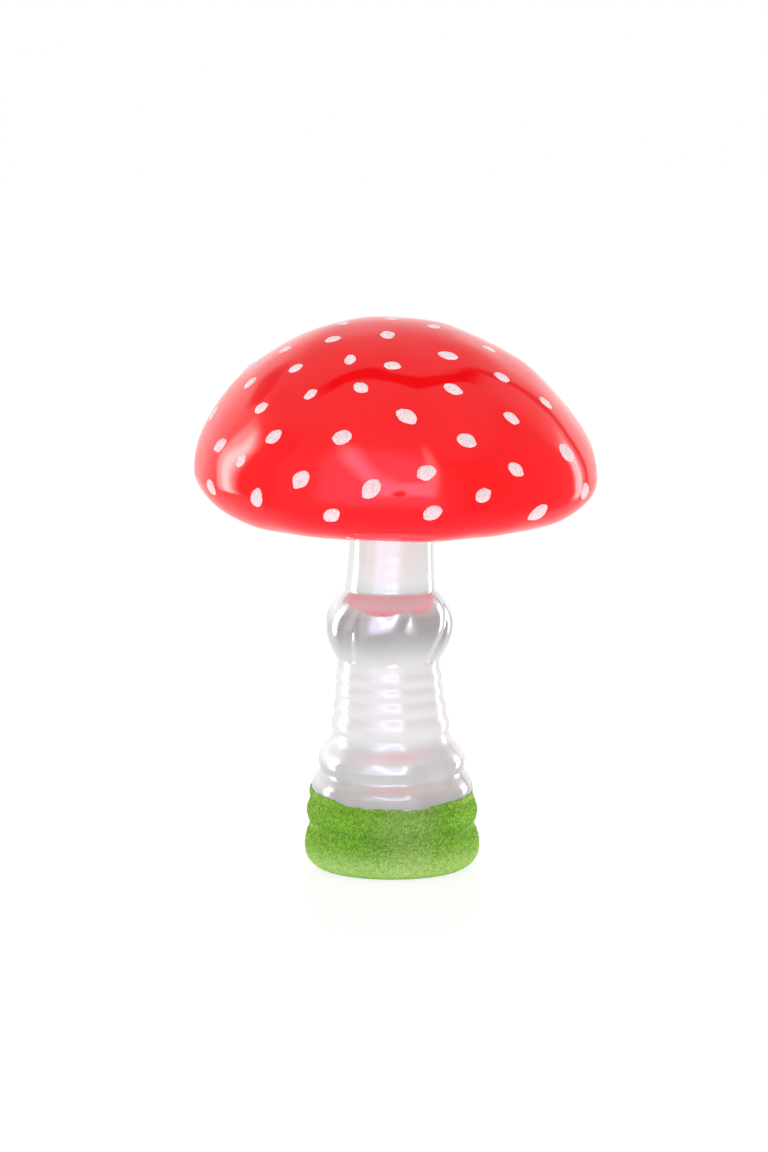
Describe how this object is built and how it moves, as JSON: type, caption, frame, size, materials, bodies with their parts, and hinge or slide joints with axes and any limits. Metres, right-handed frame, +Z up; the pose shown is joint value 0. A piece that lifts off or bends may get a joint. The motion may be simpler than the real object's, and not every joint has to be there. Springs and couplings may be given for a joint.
{
  "type": "glass mushroom ornament",
  "caption": "Standing toadstool ornament of blown glass: a domed red cap with raised white dots on a ringed silvered stem whose foot wears green glitter.",
  "frame": {"origin": "middle of the flat face under the glittered foot, which the ornament stands on", "axes": "+Z up through the stem to the top of the cap, -Y towards the front that the picture shows, +X to its right"},
  "size_m": [0.1448, 0.1446, 0.2],
  "materials": {
    "red_lacquer": "gloss",
    "silvered_glass": "polished",
    "green_glitter": "matte",
    "white_glitter": "matte",
    "clear_glue": "satin",
    "cork": "matte"
  },
  "bodies": {
    "root": {"cap_shell": "red_lacquer", "stem_shell": "silvered_glass", "moss_coat": "green_glitter", "glue_ring": "clear_glue", "foot_plug": "cork", "dot_01": "white_glitter", "dot_02": "white_glitter", "dot_03": "white_glitter", "dot_04": "white_glitter", "dot_05": "white_glitter", "dot_06": "white_glitter", "dot_07": "white_glitter", "dot_08": "white_glitter", "dot_09": "white_glitter", "dot_10": "white_glitter", "dot_11": "white_glitter", "dot_12": "white_glitter", "dot_13": "white_glitter", "dot_14": "white_glitter", "dot_15": "white_glitter", "dot_16": "white_glitter", "dot_17": "white_glitter", "dot_18": "white_glitter", "dot_19": "white_glitter", "dot_20": "white_glitter", "dot_21": "white_glitter", "dot_22": "white_glitter", "dot_23": "white_glitter", "dot_24": "white_glitter", "dot_25": "white_glitter", "dot_26": "white_glitter", "dot_27": "white_glitter", "dot_28": "white_glitter", "dot_29": "white_glitter", "dot_30": "white_glitter", "dot_31": "white_glitter", "dot_32": "white_glitter", "dot_33": "white_glitter", "dot_34": "white_glitter", "dot_35": "white_glitter", "dot_36": "white_glitter", "dot_37": "white_glitter", "dot_38": "white_glitter", "dot_39": "white_glitter", "dot_40": "white_glitter", "dot_41": "white_glitter", "dot_42": "white_glitter", "dot_43": "white_glitter", "dot_44": "white_glitter", "dot_45": "white_glitter", "dot_46": "white_glitter", "dot_47": "white_glitter", "dot_48": "white_glitter", "dot_49": "white_glitter", "dot_50": "white_glitter", "dot_51": "white_glitter", "dot_52": "white_glitter", "dot_53": "white_glitter", "dot_54": "white_glitter", "dot_55": "white_glitter"}
  },
  "joints": []
}
